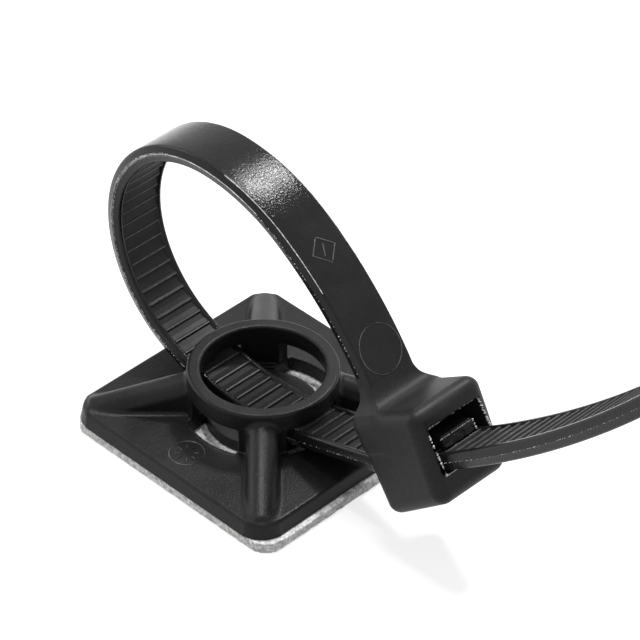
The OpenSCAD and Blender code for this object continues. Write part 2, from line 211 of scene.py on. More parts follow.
def solidFromField(name, field, low, high, cell):
    axes = [np.arange(a, b + cell, cell) for a, b in zip(low, high)]
    grid = field(*np.meshgrid(*axes, indexing="ij"))
    inside = grid < 0
    cells = tuple(n - 1 for n in grid.shape)
    corners = [(i, j, k) for i in (0, 1) for j in (0, 1) for k in (0, 1)]

    def part(array, corner):
        return array[tuple(slice(c, c + n) for c, n in zip(corner, cells))]

    filled = sum(part(inside, c).astype(int) for c in corners)
    active = (filled > 0) & (filled < 8)
    where = np.argwhere(active)
    total = np.zeros((len(where), 3))
    hits = np.zeros(len(where))
    for a in corners:
        for axis in range(3):
            if a[axis]:
                continue
            b = tuple(1 if i == axis else c for i, c in enumerate(a))
            va, vb = part(grid, a)[active], part(grid, b)[active]
            cut = (va < 0) != (vb < 0)
            spot = np.tile(np.array(a, float), (len(where), 1))
            spot[:, axis] = np.where(cut, va / np.where(cut, va - vb, 1), 0)
            total[cut] += spot[cut]
            hits[cut] += 1
    points = np.array(low) + (where + total / hits[:, None]) * cell
    for _ in range(3):  # settle the corners of the quads on the surface
        normal = slope(field, points)
        length = np.maximum((normal ** 2).sum(1), 0.2)  # no wild moves where the field is flat
        move = -(field(*points.T) / length)[:, None] * normal
        points += np.clip(move, -cell / 2, cell / 2)
    number = np.full(cells, -1)
    number[active] = np.arange(len(where))
    quads = []
    for axis in range(3):
        one, two = [(1, 2), (2, 0), (0, 1)][axis]
        lower = [slice(None)] * 3
        upper = [slice(None)] * 3
        lower[axis], upper[axis] = slice(0, -1), slice(1, None)
        start, stop = inside[tuple(lower)], inside[tuple(upper)]
        spots = np.argwhere(start != stop)
        spots = spots[(spots[:, one] > 0) & (spots[:, two] > 0)]
        spots = spots[(spots[:, one] < grid.shape[one] - 1) & (spots[:, two] < grid.shape[two] - 1)]
        outward = start[tuple(spots.T)]
        ring = []
        for da, db in ((-1, -1), (0, -1), (0, 0), (-1, 0)):
            place = spots.copy()
            place[:, one] += da
            place[:, two] += db
            ring.append(number[tuple(place.T)])
        ring = np.array(ring).T
        ring[~outward] = ring[~outward][:, ::-1]
        quads.append(ring)
    quads = np.concatenate(quads)
    mesh = bpy.data.meshes.new(name)
    mesh.vertices.add(len(points))
    mesh.vertices.foreach_set("co", (points * mm).astype(np.float32).ravel())
    mesh.loops.add(quads.size)
    mesh.loops.foreach_set("vertex_index", quads.ravel().astype(np.int32))
    mesh.polygons.add(len(quads))
    mesh.polygons.foreach_set("loop_start", np.arange(0, quads.size, 4, dtype=np.int32))
    mesh.update(calc_edges=True)
    mesh.validate()
    shadeSmooth(mesh)
    normal = slope(field, points)
    normal /= np.maximum(np.linalg.norm(normal, axis=1), 1e-9)[:, None]
    mesh.normals_split_custom_set_from_vertices(normal.tolist())
    print(name, "quads:", len(quads))
    return newObject(name, mesh)


# mount base

mountShape = {
    "width": 38.0, "underside": 1.5, "plate": 2.3, "corner": 4.0, "lean": 0.45, "edgeRound": 0.5,
    "ring": 10.5, "bore": 8.6, "boreStep": 0.3, "boreStepAt": 1.2,
    "ringUnder": 7.5, "ringTop": 10.6, "ringRound": 0.45,
    "slot": 9.2, "hub": 8.05, "hubTop": 3.3, "window": 10.85, "screw": 2.6, "sink": 3.8,
    "rib": 2.15, "ribDrop": 1.5, "ribEnd": 24.04, "ribEndHeight": 0.6, "ribEndRound": 0.5, "ribFoot": 0.7,
    "postRound": 0.3, "innerRound": 0.25, "underRound": 0.2, "screwRound": 0.15,
    "postRoot": 0.3, "ribRoot": 0.4,  # above the underside
    "postTop": 0.4, "ribIn": 0.95,  # into the ring
    "space": 0.3, "cell": 0.22}


def mountField(x, y, z):
    m = mountShape
    top = m["underside"] + m["plate"]
    ax, ay = np.abs(x), np.abs(y)
    r = np.hypot(x, y)
    cross = np.minimum(ax, ay)  # distance to the nearer slot's middle
    leanIn = m["lean"] * np.clip((z - m["underside"]) / m["plate"], 0, 1)
    corner = m["corner"] - leanIn
    qx, qy = ax - m["width"] / 2 + m["corner"], ay - m["width"] / 2 + m["corner"]
    side = np.hypot(np.maximum(qx, 0), np.maximum(qy, 0)) + np.minimum(np.maximum(qx, qy), 0) - corner
    plate = np.maximum(smoothMax(side, z - top, m["edgeRound"]), m["underside"] - z)
    window = np.maximum(np.maximum(r - m["window"], m["hub"] - r), cross - m["slot"] / 2)
    plate = smoothMax(plate, -window, m["innerRound"])
    plate = smoothMax(plate, -np.maximum(r - m["hub"], m["hubTop"] - z), m["innerRound"])
    inner = m["bore"] + m["boreStep"]
    post = smoothMax(r - m["ring"], inner - r, m["postRound"])
    post = smoothMax(post, m["slot"] / 2 - cross, m["postRound"])
    post = np.maximum(np.maximum(post, m["underside"] + m["postRoot"] - z), z - m["ringUnder"] - m["postTop"])
    wall = np.where(z < m["ringUnder"] + m["boreStepAt"], inner, m["bore"]) - r
    band = smoothMax(smoothMax(r - m["ring"], wall, m["postRound"]), z - m["ringTop"], m["ringRound"])
    band = smoothMax(band, m["ringUnder"] - z, m["underRound"])
    along, across = (ax + ay) / math.sqrt(2), np.abs(ax - ay) / math.sqrt(2)
    fall = (m["ringTop"] - m["ribDrop"] - top - m["ribEndHeight"]) / (m["ribEnd"] - m["ring"])
    tilt = math.cos(math.atan(fall))
    axis = m["ringTop"] - m["ribDrop"] - fall * (along - m["ring"]) - m["rib"] / tilt
    rib = np.where(z > axis, np.hypot(across, (z - axis) * tilt), across) - m["rib"]
    rib = smoothMax(rib, along - m["ribEnd"], m["ribEndRound"])
    rib = np.maximum(np.maximum(rib, m["ring"] - m["ribIn"] - along), m["underside"] + m["ribRoot"] - z)
    posts = smoothMin(post, band, m["innerRound"])
    body = smoothMin(plate, posts, m["postRound"])
    body = smoothMin(body, rib, m["ribFoot"])
    hole = np.maximum(m["screw"], m["sink"] + z - m["hubTop"]) - r
    hole = np.where(r < m["hub"], hole, -m["hub"])  # the countersink ends within the hub
    return smoothMax(body, hole, m["screwRound"])


mountHalf = mountShape["width"] / 2 + mountShape["space"]
mount = solidFromField("mount_body", mountField,
                       (-mountHalf, -mountHalf, mountShape["underside"] - mountShape["space"]),
                       (mountHalf, mountHalf, mountShape["ringTop"] + mountShape["space"]), mountShape["cell"])
mount.data.materials.append(basePlastic)
print("mount base made")


# foam pad

padShape = {
    "length": 38.6, "width": 38.0, "thick": 1.5, "shift": 0.5, "corner": 3.2, "hole": 2.6,
    "cells": 0.55, "rough": 0.22, "space": 0.4, "spaceUp": 0.3, "cell": 0.32}


def padField(x, y, z):
    p = padShape
    qx = np.abs(x - p["shift"]) - p["length"] / 2 + p["corner"]
    qy = np.abs(y) - p["width"] / 2 + p["corner"]
    side = np.hypot(np.maximum(qx, 0), np.maximum(qy, 0)) + np.minimum(np.maximum(qx, qy), 0) - p["corner"]
    rough = latticeNoise(x, y, z, p["cells"], seed=5) + 0.5
    side = side + p["rough"] * rough * rough
    pad = np.maximum(np.maximum(side, -z), z - p["thick"])
    return np.maximum(pad, p["hole"] - np.hypot(x, y))


padX, padY = padShape["length"] / 2 + padShape["space"], padShape["width"] / 2 + padShape["space"]
pad = solidFromField("foam_pad_body", padField,
                     (padShape["shift"] - padX, -padY, -padShape["spaceUp"]),
                     (padShape["shift"] + padX, padY, padShape["thick"] + padShape["spaceUp"]),
                     padShape["cell"])
pad.data.materials.append(foam)
print("foam pad made")


# cable tie: its path

tie = {
    "width": 8.4, "thick": 2.5, "faceHalf": 3.74, "bevelDepth": 1.25,
    "trackHalf": 3.0, "trackSlope": 0.3, "trackDepth": 0.6, "toothHeight": 0.48, "toothPitch": 2.1,
    "loopR": 19.5, "liftTurn": 28.0, "crownR": 28.0, "crownTurn": 32.3, "fallR": 54.0, "fallTurn": 24.0,
    "flatStart": 1.2, "riseLead": 5.34, "headroom": 1.7, "edgeGap": 0.2, "riseR": 20.0, "mouthR": 14.0,
    "tailR": 185.0, "tailL": 48.0, "tipL": 14.0, "tipW": 3.6, "tipRound": 1.6,
    "hidden": 2.0, "step": 0.5}  # hidden: what runs on inside the neck
head = {
    "width": 12.9, "length": 14.15, "neck": 3.35, "neckHalf": 5.5, "out": 9.2, "taper": 1.1, "in": 2.0,
    "round": 1.8, "edge": 2.0, "rake": 0.5, "lean": 2.3, "endWall": 4.0, "clear": 0.3, "room": 3.85,
    "side": 0.6, "tunnelRound": 0.35, "rimRound": 0.2,
    "neckIn": 1.2, "neckUnder": 4.0, "neckLead": 0.4, "neckBlend": 1.9, "neckRound": 0.25, "faceRound": 0.1,
    "swell": 0.75, "swellPower": 2.4, "bevelAcross": 0.894, "bevelOut": 0.447, "bevelRound": 0.15,
    "shrink": 0.04, "shrinkFrom": 0.5, "shrinkRun": 1.5,
    "tornFrom": 2.2, "tornRun": 2.0, "coarse": 0.32, "coarseCell": 0.75, "fine": 0.16, "fineCell": 0.3,
    "pawl": 1.75, "pawlInset": 0.7, "pawlClear": 0.2, "pawlRound": 0.25, "pawlBlend": 0.3, "pawlTorn": 0.5,
    "rootSpace": 1.6, "space": 0.6, "sideSpace": 0.3, "cell": 0.16}


def aside(centre, radius, heading):
    a = math.radians(heading)
    return (centre[0] + radius * math.sin(a), centre[1] - radius * math.cos(a))


def ahead(point, heading, length):
    a = math.radians(heading)
    return (point[0] + length * math.cos(a), point[1] + length * math.sin(a))


hubTop = mountShape["hubTop"]
liftDrop = tie["headroom"] - tie["edgeGap"]
liftReach = mountShape["ring"] - tie["flatStart"]
liftR = (liftReach ** 2 + liftDrop ** 2) / (2 * liftDrop) + tie["thick"]
liftC = (-tie["flatStart"], hubTop + liftR)
loopC = aside(liftC, liftR - tie["loopR"], 360 - tie["liftTurn"])
crownC = aside(loopC, tie["loopR"] - tie["crownR"], 180)
fallC = aside(crownC, tie["crownR"] - tie["fallR"], 180 - tie["crownTurn"])
rootDir = 180 - tie["crownTurn"] - tie["fallTurn"]
root = aside(fallC, tie["fallR"], rootDir)
down = (-math.cos(math.radians(rootDir)), -math.sin(math.radians(rootDir)))
out = (math.sin(math.radians(rootDir)), -math.cos(math.radians(rootDir)))


def headPoint(u, v):
    return (root[0] + u * down[0] + v * out[0], root[1] + u * down[1] + v * out[1])


headBack = tie["thick"] + head["in"]
tailLine = head["neck"] + head["length"] - head["endWall"] - head["clear"]
tailDir = rootDir - 90 + head["lean"]
mouth = headPoint(tailLine, -headBack)
tunnelL = (head["out"] + headBack) / math.cos(math.radians(head["lean"]))
tunnelTop = tie["thick"] + head["room"]
risePoint = (mountShape["ring"] - tie["riseLead"], hubTop)
riseDir = math.degrees(math.atan2(mouth[1] - risePoint[1], mouth[0] - risePoint[0]))
riseC = (risePoint[0] - tie["riseR"] * math.tan(math.radians(riseDir / 2)), hubTop + tie["riseR"])
mouthTurn = tailDir - riseDir
mouthRun = tie["mouthR"] * math.tan(math.radians(mouthTurn / 2))
mouthC = aside(ahead(mouth, riseDir, -mouthRun), -tie["mouthR"], riseDir)
riseEnd = aside(riseC, tie["riseR"], riseDir)
mouthStart = aside(mouthC, tie["mouthR"], riseDir)
tunnelStart = aside(mouthC, tie["mouthR"], tailDir)
tunnelRun = tunnelL - mouthRun
tailStart = ahead(tunnelStart, tailDir, tunnelRun)
tailC = aside(tailStart, -tie["tailR"], tailDir)
tailTurn = math.degrees(tie["tailL"] / tie["tailR"])
tipDir = tailDir + tailTurn
tipStart = aside(tailC, tie["tailR"], tipDir)


def arc(centre, radius, heading, turn):
    count = max(2, round(math.radians(turn) * radius / tie["step"]))
    headings = [heading + turn * i / count for i in range(count)]
    return [(*aside(centre, radius, now), now) for now in headings]


def line(start, heading, length):
    count = max(1, round(length / tie["step"]))
    return [(*ahead(start, heading, length * i / count), heading) for i in range(count)]


tiePath = (line(headPoint(tie["hidden"], 0), rootDir, tie["hidden"])
           + arc(fallC, tie["fallR"], rootDir, tie["fallTurn"])
           + arc(crownC, tie["crownR"], rootDir + tie["fallTurn"], tie["crownTurn"])
           + arc(loopC, tie["loopR"], 180, 180 - tie["liftTurn"])
           + arc(liftC, liftR, 360 - tie["liftTurn"], tie["liftTurn"])
           + line((-tie["flatStart"], hubTop), 0, riseC[0] + tie["flatStart"])
           + arc(riseC, tie["riseR"], 0, riseDir)
           + line(riseEnd, riseDir, math.dist(riseEnd, mouthStart))
           + arc(mouthC, tie["mouthR"], riseDir, mouthTurn)
           + line(tunnelStart, tailDir, tunnelRun)
           + arc(tailC, tie["tailR"], tailDir, tailTurn)
           + line(tipStart, tipDir, tie["tipL"])
           + [(*ahead(tipStart, tipDir, tie["tipL"]), tipDir)])
tieLength = sum(math.dist(a[:2], b[:2]) for a, b in zip(tiePath, tiePath[1:]))
print("tie path:", len(tiePath), "points,", round(tieLength, 1), "mm")


def besidePath(depth, across):  # points under the outer face, in metres
    return [Vector((p[0], across, p[1])) * mm for p in (aside(q[:2], -depth, q[2]) for q in tiePath)]


def onFace(s, across):  # point on the outer face, s millimetres from the head's end of the path
    for (x, z, _), (x2, z2, _) in zip(tiePath, tiePath[1:]):
        length = math.dist((x, z), (x2, z2))
        if s <= length:
            return Vector((x + (x2 - x) * s / length, across, z + (z2 - z) * s / length)) * mm
        s -= length
    return Vector((x2, across, z2)) * mm


# geometry node trees for what follows the tie

def lineMesh(name, *strings, closed=False):
    points, edges = [], []
    for string in strings:
        first = len(points)
        points += [tuple(p) for p in string]
        edges += [(i, i + 1) for i in range(first, len(points) - 1)]
        if closed:
            edges.append((len(points) - 1, first))
    mesh = bpy.data.meshes.new(name)
    mesh.from_pydata(points, edges, [])
    return newObject(name, mesh)


def solidMesh(name, points, faces):
    mesh = bpy.data.meshes.new(name)
    mesh.from_pydata([tuple(Vector(p) * mm) for p in points], [], faces)
    mesh.update()
    return newObject(name, mesh)


socketKinds = {float: "NodeSocketFloat", int: "NodeSocketInt", bpy.types.Object: "NodeSocketObject",
               bpy.types.Material: "NodeSocketMaterial"}


def geometryTree(name, inputs):
    tree = bpy.data.node_groups.new(name, "GeometryNodeTree")
    tree.interface.new_socket("Geometry", in_out="INPUT", socket_type="NodeSocketGeometry")
    for label, value in inputs.items():
        tree.interface.new_socket(label, in_out="INPUT", socket_type=socketKinds[type(value)])
    tree.interface.new_socket("Geometry", in_out="OUTPUT", socket_type="NodeSocketGeometry")
    return tree, tree.nodes.new("NodeGroupInput").outputs, tree.nodes.new("NodeGroupOutput").inputs


def runTree(piece, tree, inputs):  # applies the tree and leaves a plain mesh
    modifier = piece.modifiers.new(tree.name, "NODES")
    modifier.node_group = tree
    for item in tree.interface.items_tree:
        if item.in_out == "INPUT" and item.name in inputs:
            modifier[item.identifier] = inputs[item.name]
    bpy.context.view_layer.update()
    made = bpy.data.meshes.new_from_object(piece.evaluated_get(bpy.context.evaluated_depsgraph_get()))
    piece.modifiers.clear()
    piece.data = made
    return piece


def acrossCurve(tree, source):  # a curve whose normal is the tie's cross direction
    curve = addNode(tree, "GeometryNodeMeshToCurve", {"Mesh": source})
    return addNode(tree, "GeometryNodeSetCurveNormal", {"Curve": curve.outputs[0], "Normal": (0, 1, 0)},
                   mode="FREE")


def finishTree(tree, geometry, material, result):
    real = addNode(tree, "GeometryNodeRealizeInstances", {"Geometry": geometry})
    painted = addNode(tree, "GeometryNodeSetMaterial", {"Geometry": real.outputs[0], "Material": material})
    tree.links.new(painted.outputs[0], result[0])


def sweptTree(inputs):  # a section swept along the path, narrowed towards the far end
    tree, given, result = geometryTree("sweptSection", inputs)
    curve = acrossCurve(tree, given["Geometry"])
    parameter = tree.nodes.new("GeometryNodeSplineParameter")
    marked = addNode(tree, "GeometryNodeStoreNamedAttribute", {
        "Geometry": curve.outputs[0], "Name": "along", "Value": parameter.outputs["Length"]},
        data_type="FLOAT", domain="POINT")
    section = addNode(tree, "GeometryNodeObjectInfo", {"Object": given["Section"]})
    sectionCurve = addNode(tree, "GeometryNodeMeshToCurve", {"Mesh": section.outputs["Geometry"]})
    swept = addNode(tree, "GeometryNodeCurveToMesh", {
        "Curve": marked.outputs[0], "Profile Curve": sectionCurve.outputs[0], "Fill Caps": True})
    along = addNode(tree, "GeometryNodeInputNamedAttribute", {"Name": "along"}, data_type="FLOAT")
    taper = addNode(tree, "ShaderNodeMapRange", {
        "Value": along.outputs[0], "From Min": given["Taper From"], "From Max": given["Taper To"],
        "To Min": 1.0, "To Max": given["End Width"]})
    tipRound = addNode(tree, "ShaderNodeMapRange", {
        "Value": along.outputs[0], "From Min": given["Round From"], "From Max": given["Taper To"],
        "To Min": 1.0, "To Max": 0.35}, interpolation_type="SMOOTHSTEP")
    both = mathNode(tree, "MULTIPLY", taper.outputs[0], tipRound.outputs[0])
    place = tree.nodes.new("GeometryNodeInputPosition")
    parts = addNode(tree, "ShaderNodeSeparateXYZ", {0: place.outputs[0]})
    narrow = mathNode(tree, "MULTIPLY", parts.outputs["Y"], both)
    moved = addNode(tree, "ShaderNodeCombineXYZ", {
        "X": parts.outputs["X"], "Y": narrow, "Z": parts.outputs["Z"]})
    shaped = addNode(tree, "GeometryNodeSetPosition", {
        "Geometry": swept.outputs[0], "Position": moved.outputs[0]})
    finishTree(tree, shaped.outputs[0], given["Material"], result)
    return tree


def repeatTree(inputs):  # an object repeated along a path, with seeded size, turn and gaps
    tree, given, result = geometryTree("repeatedAlong", inputs)
    curve = acrossCurve(tree, given["Geometry"])
    points = addNode(tree, "GeometryNodeCurveToPoints", {"Curve": curve.outputs[0], "Length": given["Pitch"]},
                     mode="LENGTH")
    item = addNode(tree, "GeometryNodeObjectInfo", {"Object": given["Item"]})
    size = addNode(tree, "FunctionNodeRandomValue", {
        2: given["Smallest"], 3: given["Largest"], "Seed": given["Seed"]}, data_type="FLOAT")
    kept = addNode(tree, "FunctionNodeRandomValue", {
        "Probability": given["Share"], "Seed": given["Seed"]}, data_type="BOOLEAN")
    spin = addNode(tree, "FunctionNodeRandomValue", {
        2: 0.0, 3: given["Twist"], "Seed": given["Seed"]}, data_type="FLOAT")
    angle = addNode(tree, "ShaderNodeCombineXYZ", {axis: spin.outputs[1] for axis in "XYZ"})
    turned = addNode(tree, "FunctionNodeRotateRotation", {
        "Rotation": points.outputs["Rotation"], "Rotate By": angle.outputs[0]}, rotation_space="LOCAL")
    placed = addNode(tree, "GeometryNodeInstanceOnPoints", {
        "Points": points.outputs["Points"], "Selection": kept.outputs[3],
        "Instance": item.outputs["Geometry"], "Rotation": turned.outputs[0], "Scale": size.outputs[1]})
    finishTree(tree, placed.outputs[0], given["Material"], result)
    return tree


def joined(name, pieces):
    with bpy.context.temp_override(active_object=pieces[0], object=pieces[0], selected_objects=pieces,
                                   selected_editable_objects=pieces):
        bpy.ops.object.join()
    pieces[0].name = name
    pieces[0].data.name = name
    return pieces[0]


# strap: one section swept along the path, teeth and torn flash repeated on it

def strapSection():
    t = tie
    half, thick, floor = t["width"] / 2, t["thick"], t["thick"] - t["trackDepth"]
    track, slant = t["trackHalf"], t["trackSlope"]
    side = [(0.0, 0.0), (t["faceHalf"] * 0.5, 0.0), (t["faceHalf"] - 0.12, 0.0), (t["faceHalf"], 0.015),
            (t["faceHalf"] + 0.1, 0.07), (half - 0.22, 0.34), (half - 0.06, t["bevelDepth"] - 0.1),
            (half, t["bevelDepth"]), (half - 0.05, t["bevelDepth"] + 0.08), (half - 0.16, thick - 0.4),
            (half - 0.22, thick - 0.2), (half - 0.34, thick - 0.06), (half - 0.48, thick),
            (track + slant + 0.12, thick), (track + slant, thick - 0.08),
            (track + 0.04, floor + 0.1), (track - 0.06, floor), (track * 0.5, floor)]
    return side + [(0.0, floor)] + [(-x, y) for x, y in reversed(side[1:])]


sectionPiece = lineMesh("strapSection", [(x * mm, y * mm, 0) for x, y in strapSection()], closed=True)
sweepInputs = {
    "Section": sectionPiece, "Taper From": (tieLength - tie["tipL"]) * mm, "Taper To": tieLength * mm,
    "Round From": (tieLength - tie["tipRound"]) * mm, "End Width": tie["tipW"] / tie["width"],
    "Material": tiePlastic}
strap = runTree(lineMesh("strap", besidePath(0, 0)), sweptTree(sweepInputs), sweepInputs)
shadeSmooth(strap.data)
strap.data.set_sharp_from_angle(angle=math.radians(38))

trim = {  # what the teeth, the flash and the painted highlight lines add; their stretches are counted in steps of the path
    "trackFrom": 6, "toothFoot": 0.12, "toothOver": 0.26, "crestIn": 0.1, "crestUp": 0.012, "crestDown": 0.06,
    "edgeFrom": 8, "edgeTo": -30, "edgeIn": 0.05,
    "tornFrom": 14, "tornTo": 106, "tornIn": 0.08, "tornDepths": (0.86, 1.0, 1.14),
    "partingFrom": -22, "partingTo": 46, "partingLine": 0.08,
    "faceFrom": 31, "faceTo": 74, "faceAside": 0.1, "faceLine": 0.07}


def acrossTrack(name, outline, half):  # an outline along the strap, made solid across it
    count = len(outline)
    faces = [tuple(range(count)), tuple(range(2 * count - 1, count - 1, -1))]
    faces += [(i, i + count, (i + 1) % count + count, (i + 1) % count) for i in range(count)]
    return solidMesh(name, [(s * half, h, z) for s in (-1, 1) for z, h in outline], faces)


pitch, rise, reach = tie["toothPitch"], tie["toothHeight"], tie["trackHalf"] + trim["toothOver"]
toothLine = [(-0.5 * pitch, -trim["toothFoot"]), (-0.5 * pitch, rise * 0.45), (-0.1 * pitch, rise * 0.5),
             (0.24 * pitch, rise * 0.78), (0.34 * pitch, rise), (0.42 * pitch, rise),
             (0.47 * pitch, rise * 0.8), (0.5 * pitch, rise * 0.4), (0.5 * pitch, -trim["toothFoot"])]
tooth = acrossTrack("tooth", toothLine, reach)
toothInputs = {
    "Item": tooth, "Material": satinPlastic, "Pitch": pitch * mm, "Smallest": 1.0, "Largest": 1.0,
    "Twist": 0.0, "Share": 1.0, "Seed": 1}
repeated = repeatTree(toothInputs)
trackTo = len(tiePath) - round(tie["tipL"] / tie["step"])
trackLine = besidePath(tie["thick"] - tie["trackDepth"], 0)[trim["trackFrom"]:trackTo]
teeth = runTree(lineMesh("trackTeeth", trackLine), repeated, toothInputs)

# on each tooth's crest a thin strip of pale nylon: a painted highlight where the crests catch the light
crestLow, crestHigh = rise - trim["crestDown"], rise + trim["crestUp"]
crestLine = [(0.33 * pitch, crestLow), (0.33 * pitch, crestHigh), (0.42 * pitch, crestHigh),
             (0.42 * pitch, crestLow)]
crest = acrossTrack("crest", crestLine, reach - trim["crestIn"])
crests = runTree(lineMesh("toothCrests", trackLine), repeated,
                 dict(toothInputs, Item=crest, Material=paintedHighlightPlastic))

flakePoints = [(-0.09, -0.05, -0.2), (0.11, -0.02, -0.1), (-0.08, 0.05, 0.22), (0.14, 0.03, 0.12),
               (0.03, -0.07, 0.1), (0.02, 0.07, -0.12)]  # a crooked crumb of plastic
flake = solidMesh("flake", flakePoints, [(0, 5, 1), (0, 2, 5), (0, 4, 2), (0, 1, 4), (1, 5, 3), (5, 2, 3),
                                         (2, 4, 3), (4, 1, 3)])
flashInputs = {
    "Item": flake, "Material": flashAndHighlightPlastic, "Pitch": 0.24 * mm, "Smallest": 0.3, "Largest": 0.95,
    "Twist": 3.0, "Share": 0.55, "Seed": 7}
fallPoints, crownPoints = (round(math.radians(tie[turn]) * tie[radius] / tie["step"])
                           for turn, radius in (("fallTurn", "fallR"), ("crownTurn", "crownR")))
loopStart = round(tie["hidden"] / tie["step"]) + fallPoints + crownPoints  # where the tight bend begins


def edgeLine(side, depth, inset, first, last):  # a stretch of one edge of the strap
    return besidePath(depth, side * (tie["width"] / 2 - inset))[first:last]


edges = [edgeLine(side, tie["bevelDepth"], trim["edgeIn"], trim["edgeFrom"], trim["edgeTo"])
         for side in (-1, 1)]
flash = runTree(lineMesh("partingFlash", *edges), repeated, flashInputs)
torn = [edgeLine(side, tie["bevelDepth"] * share, trim["tornIn"], loopStart + trim["tornFrom"],
                 loopStart + trim["tornTo"]) for side in (-1, 1) for share in trim["tornDepths"]]
tornInputs = dict(flashInputs, Pitch=0.18 * mm, Smallest=0.4, Largest=1.0, Share=0.75, Seed=3)
tornFlash = runTree(lineMesh("tornFlash", *torn), repeated, tornInputs)
print("strap swept, teeth:", len(teeth.data.polygons) // (len(toothLine) + 2))


# raised marks on the strap's face, painted pale as highlights, and pale lines along its edges: flash with a
# painted highlight at the parting lines, a painted highlight at the face's corners

def raisedLine(points, radius, material, closed=False):
    around = [(radius * math.cos(a) * mm, radius * math.sin(a) * mm, 0)
              for a in np.linspace(0, 2 * math.pi, 9)[:-1]]
    section = lineMesh("markSection", around, closed=True)
    inputs = dict(sweepInputs, Section=section, Material=material)
    inputs.update({"Taper From": 10.0, "Round From": 10.0, "Taper To": 11.0})  # past the end, so no taper
    made = runTree(lineMesh("mark", points, closed=closed), bpy.data.node_groups["sweptSection"], inputs)
    bpy.data.objects.remove(section)
    shadeSmooth(made.data)
    return made


marks = {
    "roundAt": 5.5, "roundR": 3.4, "roundLine": 0.09,
    "diamondAt": 20.4, "diamondHalf": 2.0, "diamondLine": 0.13, "sideDrawn": 0.86,
    "barHalf": 0.8, "barSlant": 0.5}
circle = [onFace(marks["roundAt"] + marks["roundR"] * math.cos(a), marks["roundR"] * math.sin(a))
          for a in np.linspace(0, 2 * math.pi, 73)[:-1]]
tips = [(-1, 0), (0, 1), (1, 0), (0, -1)]
diamond = [onFace(marks["diamondAt"] + marks["diamondHalf"] * (a[0] + (b[0] - a[0]) * t),
                  marks["diamondHalf"] * (a[1] + (b[1] - a[1]) * t))
           for a, b in zip(tips, tips[1:] + tips[:1]) for t in np.linspace(0, marks["sideDrawn"], 7)]
bar = [onFace(marks["diamondAt"] + t, marks["barSlant"] * t)
       for t in np.linspace(-marks["barHalf"], marks["barHalf"], 7)]
# the marks are pale nylon: painted highlights along their raised lines
tieMarks = [raisedLine(circle, marks["roundLine"], paintedHighlightPlastic, closed=True),
            raisedLine(diamond, marks["diamondLine"], paintedHighlightPlastic, closed=True),
            raisedLine(bar, marks["diamondLine"], paintedHighlightPlastic)]
flashAndHighlightLines = []
for side in (-1, 1):
    # along the parting line: a pale line of flash, which also paints the highlight along that edge
    parting = edgeLine(side, tie["bevelDepth"], trim["edgeIn"], loopStart + trim["partingFrom"],
                       loopStart + trim["partingTo"])
    flashAndHighlightLines.append(raisedLine(parting, trim["partingLine"], flashAndHighlightPlastic))
    # along the face's corner: a pale line that is a painted highlight where the rounded corner catches the
    # light
    faceCornerHighlight = besidePath(trim["faceAside"], side * (tie["faceHalf"] + trim["faceAside"]))
    flashAndHighlightLines.append(raisedLine(faceCornerHighlight[trim["faceFrom"]:trim["faceTo"]], trim["faceLine"], flashAndHighlightPlastic))
strap = joined("tie_strap", [strap, teeth, crests, flash, tornFlash] + tieMarks + flashAndHighlightLines)
print("strap made, faces:", len(strap.data.polygons))


# head

